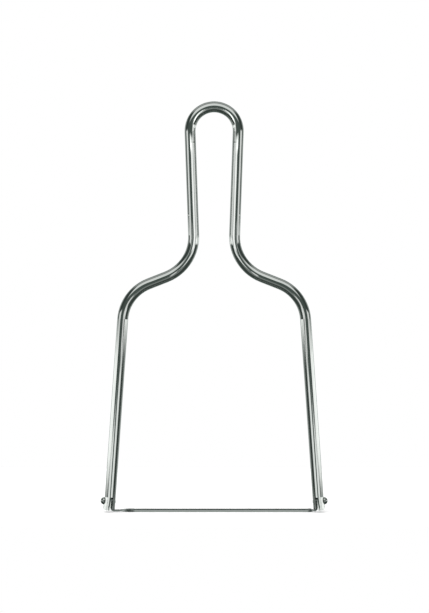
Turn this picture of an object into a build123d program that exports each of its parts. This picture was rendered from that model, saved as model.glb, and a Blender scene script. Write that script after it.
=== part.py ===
from build123d import *

import os
from math import asin, cos, radians, sin, sqrt

# Cheese slicer: a bow bent from one round stainless rod, with a cutting band across its mouth.
#
# The rod makes a closed handle loop at the top. Its two legs draw together a little towards
# the necks, turn outwards over two shoulders and run down as two long arms that spread apart.
# Each arm's end is sawn into a thick outer and a thin inner prong. The band's end passes
# round the tip of the inner prong and stands up in the slot between the two, where an eye
# takes a rivet with a half-round head. From the prongs the band lies flat, twists through a
# quarter turn and runs on edge to the other arm, with its ground edge down.
#
# Frame: the slicer stands upright with its handle up. Z is up and X runs along the band.
# The origin is the middle of the cutting edge. Sizes are in millimetres, angles in degrees.

# Rod, measured along its centreline from the top of the handle to the end of an arm
rod_diameter = 6.0
loop_radius = 13.15
leg_length = 56.5
leg_taper = 2.0
neck_radius = 23.5
run_length = 10.4
run_slope = 21.4
shoulder_radius = 22.3
arm_length = 104.4
arm_splay = 4.0

# Slotted end of each arm
slot_clearance = 0.05
slot_headroom = 0.20
prong_lean = 0.50
prong_nose_radius = 1.60
prong_tip_clearance = 0.05
end_above_edge = 1.15

# Cutting band
band_height = 1.85
band_thickness = 1.00
edge_thickness = 0.20
grind_height = 1.25
bend_radius = 0.70
tab_offset = 1.20
eye_diameter = 4.20
left_flat_length = 2.60
left_twist_length = 9.00
right_flat_length = 0.20
right_twist_length = 3.20
twist_steps = 8

# Rivets
pin_height = 4.80
pin_diameter = 2.00
pin_clearance = 0.02
eye_clearance = 0.05
head_diameter = 4.00
head_land = 0.30
seat_clearance = 0.10
tail_rise = 0.15

# How far a cutting tool runs past the surface that it opens
overrun = 1.00

# Sizes that follow
rod_radius = rod_diameter / 2
splay = radians(arm_splay)
band_axis_height = band_height / 2
slot_depth = pin_height + eye_diameter / 2 + slot_headroom
slot_inner_offset = tab_offset + band_thickness / 2
slot_outer_offset = tab_offset - band_thickness / 2 - slot_clearance
lean_at_pin = prong_lean * (slot_depth - pin_height) / slot_depth
seat_offset = rod_radius + lean_at_pin - head_land

# Where the band bends up into the slot, seen from the end of the arm
bend_offset = slot_inner_offset + bend_radius
bend_axis_height = band_axis_height + band_thickness / 2 + bend_radius
bend_along_arm = (bend_axis_height - end_above_edge + bend_offset * sin(splay)) / cos(splay)


def direction(heading):
    """The way a heading points in the plane of the bow, counted from +X towards +Z."""
    return Vector(cos(heading), 0, sin(heading))


def to_the_left(heading):
    """Square to a heading, on its left."""
    return Vector(-sin(heading), 0, cos(heading))


def bend_edge(start, heading, radius, turn):
    """A bend of the rod's centreline, to the left where the turn is positive."""
    reach = radius if turn > 0 else -radius
    centre = start + to_the_left(heading) * reach
    middle = centre - to_the_left(heading + turn / 2) * reach
    end = centre - to_the_left(heading + turn) * reach
    return ThreePointArc(start, middle, end), end


def centreline():
    """Edges of the right half, from the top of the loop to the root of the arm's slot, and the arm's end.

    The centre of the loop is at the origin here.
    """
    loop_turn = -radians(90 + leg_taper)
    neck_turn = radians(90 + leg_taper - run_slope)
    shoulder_turn = -radians(90 - arm_splay - run_slope)

    top = Vector(0, 0, loop_radius)
    loop, leg_top = bend_edge(top, 0, loop_radius, loop_turn)
    heading = loop_turn
    leg_foot = leg_top + direction(heading) * leg_length
    neck, run_start = bend_edge(leg_foot, heading, neck_radius, neck_turn)
    heading += neck_turn
    run_end = run_start + direction(heading) * run_length
    shoulder, arm_top = bend_edge(run_end, heading, shoulder_radius, shoulder_turn)
    heading += shoulder_turn
    slot_root = arm_top + direction(heading) * (arm_length - slot_depth)
    arm_end = arm_top + direction(heading) * arm_length

    edges = [
        loop,
        Line(leg_top, leg_foot),
        neck,
        Line(run_start, run_end),
        shoulder,
        Line(arm_top, slot_root),
    ]
    return edges, arm_end


rod_edges, end_below_loop = centreline()
loop_height = end_above_edge - end_below_loop.Z

# At the end of the right arm, X points away from the band's middle and Z back up the rod
arm_end_plane = Plane(
    origin=(end_below_loop.X, 0, end_above_edge),
    x_dir=(cos(splay), 0, sin(splay)),
    z_dir=(-sin(splay), 0, cos(splay)),
)
bend_axis_x = end_below_loop.X - bend_along_arm * sin(splay) - bend_offset * cos(splay)


def swept_rod():
    """The right half of the rod, from the top of the handle to the root of the arm's slot."""
    path = Wire([item.edge() if isinstance(item, Curve) else item for item in rod_edges])
    section = Plane(origin=(0, 0, loop_radius), z_dir=(1, 0, 0)) * Circle(rod_radius)
    return Pos(0, 0, loop_height) * sweep(section, path=path)


def outer_prong_section(height, lean):
    """The thick prong's section: flat along the slot, and round about a point that leans outwards."""
    half_chord = sqrt(rod_radius**2 - (slot_outer_offset + lean) ** 2)
    far_corner = (-slot_outer_offset, half_chord)
    near_corner = (-slot_outer_offset, -half_chord)
    outside = ThreePointArc(far_corner, (rod_radius + lean, 0), near_corner)
    return Pos(0, 0, height) * make_face([outside, Line(near_corner, far_corner)])


def outer_prong():
    """The thick prong: its outside leans out a little, and its outer corner is filed round."""
    root = outer_prong_section(slot_depth, 0)
    end = outer_prong_section(0, prong_lean)
    prong = loft([root, end], ruled=True)
    reach = rod_radius + prong_lean
    blank = Pos(reach - rod_diameter, 0, slot_depth / 2) * Box(
        2 * rod_diameter, 2 * rod_diameter, slot_depth
    )
    outer_corner = blank.edges().filter_by(Axis.Y).group_by(Axis.Z)[0].sort_by(Axis.X)[-1]
    return prong & fillet(outer_corner, prong_nose_radius)


def inner_prong():
    """The thin prong, its tip filed round to lie in the bend of the band."""
    beyond_slot = Pos(-slot_inner_offset - rod_radius, 0) * Rectangle(rod_diameter, rod_diameter)
    root = Pos(0, 0, slot_depth) * (Circle(rod_radius) & beyond_slot)
    prong = extrude(root, amount=-slot_depth - overrun)
    straight_length = slot_depth - bend_along_arm
    straight = Pos(0, 0, bend_along_arm + straight_length / 2) * Box(
        2 * rod_diameter, 2 * rod_diameter, straight_length
    )
    tip_radius = bend_radius - prong_tip_clearance
    tip = Pos(-bend_offset, 0, bend_along_arm) * Rot(90, 0, 0) * Cylinder(tip_radius, rod_diameter)
    return prong & (straight + tip)


def cross_cylinder(radius, start, end):
    """A cylinder along the rivet's axis, between two distances from the rod's axis."""
    length = end - start
    return Pos(start + length / 2, 0, pin_height) * Rot(0, 90, 0) * Cylinder(radius, length)


def half_bow():
    """The right half of the bow with its slotted end, rivet hole and seat for the rivet's head."""
    prongs = outer_prong() + inner_prong()
    hole_radius = pin_diameter / 2 + pin_clearance
    seat_radius = head_diameter / 2 + seat_clearance
    hole = cross_cylinder(hole_radius, -rod_radius - overrun, rod_diameter)
    seat = cross_cylinder(seat_radius, seat_offset, rod_diameter)
    return swept_rod() + arm_end_plane * (prongs - hole - seat)


def band_section(x, turn, grind_share):
    """The band's section, turned about its own length, ground fully at a share of 1."""
    back = band_height / 2
    shoulder = back - (band_height - grind_height)
    side = band_thickness / 2
    edge = side + (edge_thickness / 2 - side) * grind_share
    outline = Polyline(
        (side, back),
        (side, shoulder),
        (edge, -back),
        (-edge, -back),
        (-side, shoulder),
        (-side, back),
        close=True,
    )
    place = Plane(origin=(x, 0, band_axis_height), x_dir=(0, 1, 0), z_dir=(1, 0, 0))
    return place * Rot(0, 0, turn) * make_face(outline)


def band_end(flat_length, twist_length):
    """The right end of the band: the twist, the flat run, the bend and the tab with its eye."""
    twist_start = bend_axis_x - flat_length - twist_length
    sections = []
    for step in range(twist_steps + 1):
        share = step / twist_steps
        sections.append(band_section(twist_start + twist_length * share, 90 * share, 1 - share))
    end = loft(sections, ruled=True)

    flat = Pos(bend_axis_x - flat_length / 2, 0, band_axis_height) * Box(
        flat_length, band_height, band_thickness
    )
    bend_axis = Axis((bend_axis_x, 0, bend_axis_height), (0, -1, 0))
    bend_face = Plane(
        origin=(bend_axis_x, 0, band_axis_height), x_dir=(0, 1, 0), z_dir=(1, 0, 0)
    ) * Rectangle(band_height, band_thickness)
    bend = revolve(bend_face, axis=bend_axis, revolution_arc=90 + arm_splay)

    tab_length = pin_height - bend_along_arm
    tab = Pos(-tab_offset, 0, bend_along_arm + tab_length / 2) * Box(
        band_thickness, band_height, tab_length
    )
    tab += cross_cylinder(eye_diameter / 2, -slot_inner_offset, -tab_offset + band_thickness / 2)
    hole_radius = pin_diameter / 2 + eye_clearance
    tab -= cross_cylinder(hole_radius, -rod_diameter, rod_diameter)
    return end + flat + bend + arm_end_plane * tab, twist_start


def cutting_band():
    """The whole band, slack twist at the left and tight twist at the right."""
    right_end, right_start = band_end(right_flat_length, right_twist_length)
    left_end, left_start = band_end(left_flat_length, left_twist_length)
    middle = extrude(band_section(-left_start, 0, 1), amount=left_start + right_start)
    return middle + right_end + mirror(left_end, about=Plane.YZ)


def rivet():
    """The rivet at the end of the right arm: half-round head outside, low domed tail inside."""
    shank_radius = pin_diameter / 2
    head_radius = head_diameter / 2
    dome_start = seat_offset + head_land
    tail_sphere = (shank_radius**2 + tail_rise**2) / (2 * tail_rise)
    tail_tip = -rod_radius - tail_rise
    half_angle = asin(shank_radius / tail_sphere) / 2
    tail_middle = (
        tail_tip + tail_sphere * (1 - cos(half_angle)),
        tail_sphere * sin(half_angle),
    )
    dome_middle = (
        dome_start + head_radius * cos(radians(45)),
        head_radius * sin(radians(45)),
    )
    outline = [
        ThreePointArc((tail_tip, 0), tail_middle, (-rod_radius, shank_radius)),
        Line((-rod_radius, shank_radius), (seat_offset, shank_radius)),
        Line((seat_offset, shank_radius), (seat_offset, head_radius)),
        Line((seat_offset, head_radius), (dome_start, head_radius)),
        ThreePointArc((dome_start, head_radius), dome_middle, (dome_start + head_radius, 0)),
        Line((dome_start + head_radius, 0), (tail_tip, 0)),
    ]
    turned = revolve(make_face(outline), axis=Axis.X)
    return arm_end_plane * Pos(0, 0, pin_height) * turned


right_half = half_bow()
right_pin = rivet()
nodes = {
    "bow_frame": right_half + mirror(right_half, about=Plane.YZ),
    "cutting_band": cutting_band(),
    "left_pin": mirror(right_pin, about=Plane.YZ),
    "right_pin": right_pin,
}

os.makedirs("parts", exist_ok=True)
for name, shape in nodes.items():
    export_step(shape, f"parts/{name}.step")
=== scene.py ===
from math import cos, radians, sin

import bpy
from mathutils import Matrix, Vector

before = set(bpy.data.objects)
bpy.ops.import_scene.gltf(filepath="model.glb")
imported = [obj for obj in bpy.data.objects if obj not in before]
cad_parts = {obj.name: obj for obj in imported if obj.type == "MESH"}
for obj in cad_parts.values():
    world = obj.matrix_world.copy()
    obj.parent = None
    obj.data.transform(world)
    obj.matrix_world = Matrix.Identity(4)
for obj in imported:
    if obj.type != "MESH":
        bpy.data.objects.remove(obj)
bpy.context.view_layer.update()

# Cheese slicer: a bow bent from one stainless rod, with a twisted cutting band riveted across it.
# The slicer stands in the frame of its CAD model: Z is up, X runs along the band, and the camera
# looks along +Y. Blender's unit is the metre, so sizes in millimetres are multiplied by MM.
MM = 0.001
WHITE = (1, 1, 1, 1)
bow_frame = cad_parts["bow_frame"]
cutting_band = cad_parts["cutting_band"]
rivets = [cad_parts[name] for name in ("left_pin", "right_pin")]

# Camera, level and square to the bow. With this lens and sensor, in millimetres, its distance
# gives the slicer the size that it has in the photograph.
CAMERA_PLACE = (0.19 * MM, -929 * MM, 112.15 * MM)
CAMERA_LENS = 100
CAMERA_SENSOR = 36

# Light tent round the slicer, which shows only in the steel: its radius in metres, the cloth's
# glow in front, at the sides and behind, and its colour; the round opening behind and the soft
# edge round that, in degrees; and the distance of the cards inside the tent, in metres.
TENT_CENTRE = Vector((0, 0, 112 * MM))
TENT_RADIUS = 5.0
TENT_SEGMENTS = 48
TENT_RINGS = 24
TENT_FRONT = 0.12
TENT_SIDE = 0.05
TENT_BACK = 0.25
TENT_COLOUR = "E6FFF5"
TENT_OPENING = 15
TENT_OPENING_EDGE = 5
CARD_DISTANCE = 1.5

# Soft cards in the tent, each with its twin on the other side: way round from the front and
# height in degrees, half width, half height and soft edge as shares of its distance, and glow.
# Most follow the mirror law: light seen a share s of the rod's radius off its middle comes from
# 2 asin(s) off the front, sideways for an upright rod, and up or down for a level one.
SOFT_CARDS = {
    "arm_outer_light": (87, -2, 0.80, 0.07, 0.06, 1.40),
    "leg_side_light": (66, 7, 0.34, 0.08, 0.05, 1.00),
    "arm_inner_far_light": (29, -10, 0.33, 0.09, 0.05, 1.10),
    "back_panel": (135, 0, 0.50, 0.50, 0.30, 0.30),
}

# Cards on the plane of symmetry, which face the slicer, in the same terms
MIDDLE_CARDS = {
    "roof_panel": (0, 50, 0.80, 0.45, 0.20, 0.95),
    "roof_back": (180, 75, 0.90, 0.40, 0.40, 0.40),
    "low_strip": (0, -35, 0.60, 0.20, 0.10, 0.20),
}

# Cards that lie in the plane of symmetry, in front of the bow: nearest, farthest, lowest and
# highest point in millimetres, soft edge as a share of the distance, and glow. The soft height
# is that of the soft edge at their top and foot, in millimetres.
EDGE_CARDS = {
    "leg_card": (16, 200, 140, 206, 0.10, 1.50),
    "arm_top_card": (90, 400, 76, 103, 0.30, 1.00),
}
EDGE_SOFT_HEIGHT = 6

# Small cards close in front of the slicer, each with its twin on the other side: place across,
# forward and up, half width, half height and soft edge in millimetres, lean in degrees, and glow
NEAR_CARDS = {
    "neck_side_light": (43, 60, 156, 6, 4, 5, 0, 0.60),
    "loop_side_light": (10, 60, 205, 5, 4, 4, 0, 1.30),
    "loop_inner_light": (10, 30, 204.5, 6, 4, 3, 0, 1.30),
}

# One more across the middle, for the band's ground edge. It is in front and under the floor,
# which the steel doesn't see.
BEVEL_LIGHT = (0, 13, -9, 56, 4, 4, -42, 0.60)

# Floor and its lamp, in metres and watts, the floor's own glow, and the room as a fill light
# and as the white that the camera and the steel see
FLOOR_WIDTH = 0.30
FLOOR_FRONT = -0.06
FLOOR_BACK = 0.25
FLOOR_GLOW = 0.30
WORLD_FILL = 0.8
WORLD_WHITE = 1.0
LAMP_PLACE = (-0.35, -0.45, 0.9)
LAMP_SIZE = 0.6
LAMP_POWER = 3


def hex_colour(code):
    """An sRGB hex colour as the four linear values that Blender takes."""
    parts = [int(code[i:i + 2], 16) / 255 for i in (0, 2, 4)]
    return [p / 12.92 if p <= 0.04045 else ((p + 0.055) / 1.055) ** 2.4 for p in parts] + [1.0]


def add_node(tree, kind, settings=None, inputs=None):
    """Adds one node with its settings; its inputs get values or other nodes' outputs."""
    node = tree.nodes.new(kind)
    for name, value in (settings or {}).items():
        setattr(node, name, value)
    for key, value in (inputs or {}).items():
        if isinstance(value, bpy.types.NodeSocket):
            tree.links.new(value, node.inputs[key])
        else:
            node.inputs[key].default_value = value
    return node


def calculate(tree, operation, *values):
    """The result of one operation on values or on other nodes' outputs."""
    inputs = dict(enumerate(values))
    return add_node(tree, "ShaderNodeMath", {"operation": operation}, inputs).outputs[0]


def product(tree, values):
    """The values multiplied together."""
    total = values[0]
    for value in values[1:]:
        total = calculate(tree, "MULTIPLY", total, value)
    return total


def soft_step(tree, value, low, high):
    """A smooth rise from 0 to 1 as the value goes from low to high."""
    return add_node(tree, "ShaderNodeMapRange", {"interpolation_type": "SMOOTHSTEP"}, {
        "Value": value, "From Min": low, "From Max": high,
    }).outputs[0]


def between(tree, value, start, end, first, last):
    """An even change from the first result at the start value to the last one at the end value."""
    return add_node(tree, "ShaderNodeMapRange", None, {
        "Value": value, "From Min": start, "From Max": end, "To Min": first, "To Max": last,
    }).outputs[0]


def mixed_colour(tree, share, first, second):
    """The first colour where the share is 0, and the second where it is 1."""
    return add_node(tree, "ShaderNodeMix", {"data_type": "RGBA"}, {
        "Factor": share, "A": first, "B": second,
    }).outputs["Result"]


def stretched(tree, place, sizes):
    """The place, measured along each axis in the given sizes, in millimetres."""
    return add_node(tree, "ShaderNodeMapping", {"vector_type": "TEXTURE"}, {
        "Vector": place, "Scale": [size * MM for size in sizes],
    }).outputs[0]


def raised(tree, height, depth, under=None):
    """The normals of a surface raised by up to the depth, in millimetres, on the one under it."""
    inputs = {"Strength": 1.0, "Distance": depth * MM, "Height": height}
    if under is not None:
        inputs["Normal"] = under
    return add_node(tree, "ShaderNodeBump", None, inputs).outputs[0]


def new_material(name):
    """A node material with nothing in it yet."""
    made = bpy.data.materials.new(name)
    made.use_nodes = True
    made.node_tree.nodes.clear()
    return made, made.node_tree


def steel_shader(tree, colour, roughness, normal):
    """Bare steel with this colour, roughness and normal; the rest is the metal's own."""
    shader = add_node(tree, "ShaderNodeBsdfPrincipled", None, {
        "Base Color": colour,
        "Metallic": 1.0,
        "Roughness": roughness,
        "Normal": normal,
    })
    add_node(tree, "ShaderNodeOutputMaterial", None, {"Surface": shader.outputs[0]})


# Most of a noise texture's values lie between these two
NOISE_LOW = 0.3
NOISE_HIGH = 0.7

# Sizes of the marks on the rod, in millimetres, and how rough it is
SMUDGE_SIZE = 9
WAVE_SIZE = 5
WAVE_DEPTH = 0.005
POLISH_LINE_WIDTH = 0.35
POLISH_LINE_LENGTH = 9
POLISH_LINE_DEPTH = 0.0003
GRIP_MARK_HEIGHTS = (162.3, 201.2)
GRIP_MARK_WIDTH = 1.6
GRIP_MARK_DEPTH = 0.008
ROD_SMOOTHEST = 0.04
ROD_ROUGHEST = 0.06
SMUDGE_ROUGHNESS = 0.02


def polished_rod_steel():
    """Stainless rod, drawn, bent and tumble polished.

    Near-mirror reflections with edges that waver a little along the rod, two shallow rings where
    the bending tool gripped each leg, fine lines left by drawing and polishing, and broad faint
    smudges from handling.
    """
    made, tree = new_material("polished_stainless_rod")
    place = add_node(tree, "ShaderNodeTexCoord").outputs["Object"]

    # Smudges: patches a touch darker and less sharp than the rest
    smudge = add_node(tree, "ShaderNodeTexNoise", None, {
        "Vector": place, "Scale": 1 / (SMUDGE_SIZE * MM), "Detail": 3.0, "Roughness": 0.55,
    }).outputs["Fac"]
    colour = mixed_colour(tree, smudge, hex_colour("D2D4D1"), hex_colour("BFC3C0"))

    # Lines from drawing and polishing run up and down, wider than the real ones so that they show
    line = add_node(tree, "ShaderNodeTexNoise", None, {
        "Vector": stretched(tree, place, (POLISH_LINE_WIDTH, POLISH_LINE_WIDTH, POLISH_LINE_LENGTH)),
        "Scale": 1.0,
        "Detail": 2.0,
    }).outputs["Fac"]
    line_roughness = between(tree, line, NOISE_LOW, NOISE_HIGH, ROD_SMOOTHEST, ROD_ROUGHEST)
    roughness = calculate(tree, "MULTIPLY_ADD", smudge, SMUDGE_ROUGHNESS, line_roughness)

    wave = add_node(tree, "ShaderNodeTexNoise", None, {
        "Vector": place, "Scale": 1 / (WAVE_SIZE * MM), "Detail": 1.0,
    }).outputs["Fac"]
    wavy = raised(tree, wave, WAVE_DEPTH)

    # Grip marks: shallow rings round the legs, at the same two heights on both
    height = add_node(tree, "ShaderNodeSeparateXYZ", None, {0: place}).outputs["Z"]
    rings = []
    for mark_height in GRIP_MARK_HEIGHTS:
        over = calculate(tree, "SUBTRACT", height, mark_height * MM)
        off = calculate(tree, "ABSOLUTE", over)
        rings.append(soft_step(tree, off, GRIP_MARK_WIDTH / 2 * MM, 0))
    gripped = raised(tree, calculate(tree, "ADD", *rings), GRIP_MARK_DEPTH, wavy)
    lined = raised(tree, line, POLISH_LINE_DEPTH, gripped)
    steel_shader(tree, colour, roughness, lined)
    return made


# Sizes of the marks on the band, in millimetres, and how rough its flat and its bevel are
GRIND_HEIGHT = 1.25
GRIND_BLEND = 0.10
GRIND_LINE_WIDTH = 0.12
GRIND_LINE_LENGTH = 5
GRIND_LINE_DEPTH = 0.002
FLAT_ROUGHNESS = 0.24
BEVEL_ROUGHNESS = 0.36


def brushed_band_steel():
    """Stainless strip, brushed along its length, with a satin bevel ground along its lower edge.

    The flat above the bevel shows its surroundings softly, and its colour is a painted shade,
    far darker than the bevel's, though both are the same steel. The bevel is rougher and
    paler, and spreads the light that reaches it from below.
    """
    made, tree = new_material("brushed_stainless_band")
    place = add_node(tree, "ShaderNodeTexCoord").outputs["Object"]
    height = add_node(tree, "ShaderNodeSeparateXYZ", None, {0: place}).outputs["Z"]
    flat_foot = (GRIND_HEIGHT + GRIND_BLEND) * MM
    bevel_top = (GRIND_HEIGHT - GRIND_BLEND) * MM
    ground = soft_step(tree, height, flat_foot, bevel_top)

    line = add_node(tree, "ShaderNodeTexNoise", None, {
        "Vector": stretched(tree, place, (GRIND_LINE_LENGTH, GRIND_LINE_WIDTH, GRIND_LINE_WIDTH)),
        "Scale": 1.0,
        "Detail": 3.0,
    }).outputs["Fac"]
    # Painted shade: the flat gets a far darker colour than the bevel, though both are the same steel
    shaded_flat_colour = mixed_colour(tree, line, hex_colour("8E9390"), hex_colour("7C817E"))
    bevel_colour = mixed_colour(tree, line, hex_colour("C6CBC8"), hex_colour("B4BAB7"))
    colour = mixed_colour(tree, ground, shaded_flat_colour, bevel_colour)
    roughness = between(tree, ground, 0, 1, FLAT_ROUGHNESS, BEVEL_ROUGHNESS)
    steel_shader(tree, colour, roughness, raised(tree, line, GRIND_LINE_DEPTH))
    return made


# Sizes of the marks on the rivets, in millimetres, and how rough they are
DIMPLE_SIZE = 0.7
DIMPLE_DEPTH = 0.01
RIVET_SMOOTHEST = 0.14
RIVET_ROUGHEST = 0.22


def set_rivet_steel():
    """Stainless rivet, its head formed by a punch.

    The dome is glossy but dimpled by the punch, so its highlight breaks up.
    """
    made, tree = new_material("set_stainless_rivet")
    place = add_node(tree, "ShaderNodeTexCoord").outputs["Object"]
    dimple = add_node(tree, "ShaderNodeTexNoise", None, {
        "Vector": place, "Scale": 1 / (DIMPLE_SIZE * MM), "Detail": 2.0,
    }).outputs["Fac"]
    colour = mixed_colour(tree, dimple, hex_colour("C4C8C5"), hex_colour("AEB3B0"))
    roughness = between(tree, dimple, NOISE_LOW, NOISE_HIGH, RIVET_SMOOTHEST, RIVET_ROUGHEST)
    steel_shader(tree, colour, roughness, raised(tree, dimple, DIMPLE_DEPTH))
    return made


def show_only_in_steel(piece):
    """No camera sees the piece: it shows in the steel alone, and lights and shades nothing else."""
    piece.visible_camera = False
    piece.visible_diffuse = False
    piece.visible_transmission = False
    piece.visible_volume_scatter = False
    piece.visible_shadow = False


def unit_sheet(name):
    """A square sheet with its corners at 1 and -1, to be stretched into shape."""
    bpy.ops.mesh.primitive_plane_add(size=2)
    sheet = bpy.context.object
    sheet.name = name
    return sheet


def grey_tent():
    """The tent's cloth: darkest at the sides, paler in front and behind, and open at the back."""
    bpy.ops.mesh.primitive_uv_sphere_add(
        segments=TENT_SEGMENTS, ring_count=TENT_RINGS, radius=TENT_RADIUS, location=TENT_CENTRE
    )
    tent = bpy.context.object
    tent.name = "grey_tent"
    made, tree = new_material("tent_cloth")
    place = add_node(tree, "ShaderNodeTexCoord").outputs["Object"]
    way = add_node(tree, "ShaderNodeVectorMath", {"operation": "NORMALIZE"}, {0: place}).outputs[0]
    back = add_node(tree, "ShaderNodeSeparateXYZ", None, {0: way}).outputs["Y"]
    front_glow = between(tree, back, 0, -1, 0, TENT_FRONT - TENT_SIDE)
    back_glow = between(tree, back, 0, 1, 0, TENT_BACK - TENT_SIDE)
    extra_glow = calculate(tree, "ADD", front_glow, back_glow)
    cloth = add_node(tree, "ShaderNodeEmission", None, {
        "Color": hex_colour(TENT_COLOUR), "Strength": calculate(tree, "ADD", extra_glow, TENT_SIDE),
    }).outputs[0]
    opening = add_node(tree, "ShaderNodeBsdfTransparent").outputs[0]
    edge_starts = cos(radians(TENT_OPENING + TENT_OPENING_EDGE))
    is_open = soft_step(tree, back, edge_starts, cos(radians(TENT_OPENING)))
    mixed = add_node(tree, "ShaderNodeMixShader", None, {0: is_open, 1: cloth, 2: opening}).outputs[0]
    add_node(tree, "ShaderNodeOutputMaterial", None, {"Surface": mixed})
    tent.data.materials.append(made)
    show_only_in_steel(tent)


def glowing_card(name, place, half_width, half_height, soft, glow):
    """A flat card that adds its glow to what is behind it, with a soft edge half in and half out."""
    card = unit_sheet(name)
    reach = (half_width + soft / 2, half_height + soft / 2, 1, 1)
    card.data.transform(Matrix.Diagonal(reach))
    card.matrix_world = place

    made, tree = new_material(name)
    spot = add_node(tree, "ShaderNodeTexCoord").outputs["Object"]
    parts = add_node(tree, "ShaderNodeSeparateXYZ", None, {0: spot})
    edges = []
    for axis, half in (("X", half_width), ("Y", half_height)):
        off = calculate(tree, "ABSOLUTE", parts.outputs[axis])
        edges.append(soft_step(tree, off, half + soft / 2, half - soft / 2))
    strength = product(tree, edges + [glow])
    light = add_node(tree, "ShaderNodeEmission", None, {"Strength": strength}).outputs[0]
    clear = add_node(tree, "ShaderNodeBsdfTransparent").outputs[0]
    added = add_node(tree, "ShaderNodeAddShader", None, {0: light, 1: clear}).outputs[0]
    add_node(tree, "ShaderNodeOutputMaterial", None, {"Surface": added})
    card.data.materials.append(made)
    show_only_in_steel(card)


def soft_card(name, way_round, height, half_width, half_height, soft, glow):
    """One card of light inside the tent, square to the line from the tent's centre."""
    turn, rise = radians(way_round), radians(height)
    outwards = Vector((sin(turn) * cos(rise), -cos(turn) * cos(rise), sin(rise)))
    across = Vector((cos(turn), sin(turn), 0))
    up = outwards.cross(across)
    turned = Matrix((across, up, across.cross(up))).transposed().to_4x4()
    place = Matrix.Translation(TENT_CENTRE + outwards * CARD_DISTANCE) @ turned
    sizes = [CARD_DISTANCE * share for share in (half_width, half_height, soft)]
    glowing_card(name, place, *sizes, glow)


def near_card(name, across, forward, height, half_width, half_height, soft, lean, glow):
    """One small card close in front of the slicer; lean tips its top back, or forward if negative."""
    spot = Matrix.Translation(Vector((across, -forward, height)) * MM)
    place = spot @ Matrix.Rotation(radians(90 - lean), 4, "X")
    sizes = [size * MM for size in (half_width, half_height, soft)]
    glowing_card(name, place, *sizes, glow)


def edge_card(name, near, far, low, high, soft, glow):
    """A card of light in the plane of symmetry, in front of the bow and edge on to the camera."""
    card = unit_sheet(name)
    nearest = -near * (1 - soft / 2) * MM
    farthest = -far * (1 + soft / 2) * MM
    lowest = (low - EDGE_SOFT_HEIGHT / 2) * MM
    highest = (high + EDGE_SOFT_HEIGHT / 2) * MM
    for corner in card.data.vertices:
        y = farthest if corner.co.x < 0 else nearest
        z = lowest if corner.co.y < 0 else highest
        corner.co = (0, y, z)

    made, tree = new_material(name)
    place = add_node(tree, "ShaderNodeTexCoord").outputs["Object"]
    parts = add_node(tree, "ShaderNodeSeparateXYZ", None, {0: place})
    edges = [
        soft_step(tree, parts.outputs["Y"], nearest, -near * (1 + soft / 2) * MM),
        soft_step(tree, parts.outputs["Y"], farthest, -far * (1 - soft / 2) * MM),
        soft_step(tree, parts.outputs["Z"], lowest, (low + EDGE_SOFT_HEIGHT / 2) * MM),
        soft_step(tree, parts.outputs["Z"], highest, (high - EDGE_SOFT_HEIGHT / 2) * MM),
    ]
    light = add_node(tree, "ShaderNodeEmission", None, {"Strength": glow}).outputs[0]
    clear = add_node(tree, "ShaderNodeBsdfTransparent").outputs[0]
    mixed = add_node(tree, "ShaderNodeMixShader", None, {
        0: product(tree, edges), 1: clear, 2: light,
    }).outputs[0]
    add_node(tree, "ShaderNodeOutputMaterial", None, {"Surface": mixed})
    card.data.materials.append(made)
    show_only_in_steel(card)


def pale_floor():
    """A pale sheet under the band, which glows a little so that only the slicer's shadow shows."""
    floor = unit_sheet("pale_floor")
    for corner in floor.data.vertices:
        y = FLOOR_FRONT if corner.co.y < 0 else FLOOR_BACK
        corner.co = (corner.co.x * FLOOR_WIDTH / 2, y, 0)
    made, tree = new_material("pale_floor")
    paper = add_node(tree, "ShaderNodeBsdfDiffuse", None, {"Color": hex_colour("F2F2F2")}).outputs[0]
    glow = add_node(tree, "ShaderNodeEmission", None, {"Strength": FLOOR_GLOW}).outputs[0]
    added = add_node(tree, "ShaderNodeAddShader", None, {0: paper, 1: glow}).outputs[0]
    add_node(tree, "ShaderNodeOutputMaterial", None, {"Surface": added})
    floor.data.materials.append(made)
    floor.visible_glossy = False


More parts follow.
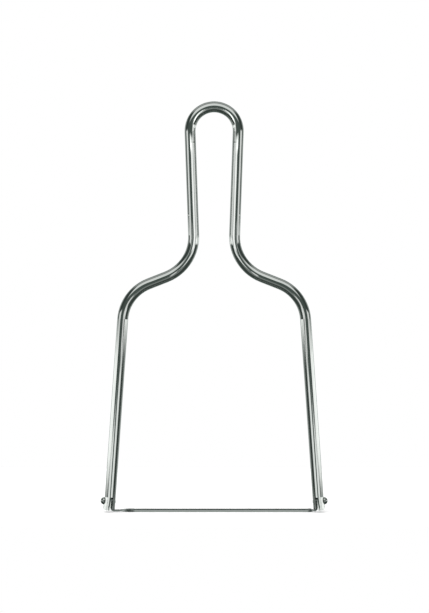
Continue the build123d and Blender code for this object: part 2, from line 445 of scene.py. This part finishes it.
def white_studio():
    """A white room: full white to a camera, gloss or glass, and plain fill elsewhere."""
    world = bpy.data.worlds.new("white_studio")
    world.use_nodes = True
    tree = world.node_tree
    tree.nodes.clear()
    path = add_node(tree, "ShaderNodeLightPath").outputs
    seen = calculate(tree, "MAXIMUM", path["Is Camera Ray"], path["Is Glossy Ray"])
    seen = calculate(tree, "MAXIMUM", seen, path["Is Transmission Ray"])
    fill, white = [
        add_node(tree, "ShaderNodeBackground", None, {"Color": WHITE, "Strength": strength}).outputs[0]
        for strength in (WORLD_FILL, WORLD_WHITE)
    ]
    mixed = add_node(tree, "ShaderNodeMixShader", None, {0: seen, 1: fill, 2: white}).outputs[0]
    add_node(tree, "ShaderNodeOutputWorld", None, {"Surface": mixed})
    bpy.context.scene.world = world


def soft_lamp():
    """One large soft lamp, above and to the left in front, for the shadow on the floor."""
    light = bpy.data.lights.new("soft_lamp", "AREA")
    light.size = LAMP_SIZE
    light.energy = LAMP_POWER
    lamp = bpy.data.objects.new("soft_lamp", light)
    lamp.location = LAMP_PLACE
    lamp.rotation_euler = (TENT_CENTRE - lamp.location).to_track_quat("-Z", "Y").to_euler()
    lamp.visible_glossy = False
    bpy.context.scene.collection.objects.link(lamp)


def photo_camera():
    """The camera at the photograph's place, looking straight along +Y."""
    data = bpy.data.cameras.new("photo_camera")
    data.lens = CAMERA_LENS
    data.sensor_width = CAMERA_SENSOR
    camera = bpy.data.objects.new("photo_camera", data)
    camera.location = CAMERA_PLACE
    camera.rotation_euler = (radians(90), 0, 0)
    bpy.context.scene.collection.objects.link(camera)
    bpy.context.scene.camera = camera


bow_frame.data.materials[0] = polished_rod_steel()
cutting_band.data.materials[0] = brushed_band_steel()
rivet_steel = set_rivet_steel()
for rivet in rivets:
    rivet.data.materials[0] = rivet_steel

photo_camera()
white_studio()
grey_tent()
for name, row in SOFT_CARDS.items():
    soft_card(name + "_right", *row)
    soft_card(name + "_left", -row[0], *row[1:])
for name, row in MIDDLE_CARDS.items():
    soft_card(name, *row)
for name, row in EDGE_CARDS.items():
    edge_card(name, *row)
for name, row in NEAR_CARDS.items():
    near_card(name + "_right", *row)
    near_card(name + "_left", -row[0], *row[1:])
near_card("bevel_light", *BEVEL_LIGHT)
pale_floor()
soft_lamp()
bpy.context.scene.view_settings.view_transform = "Standard"
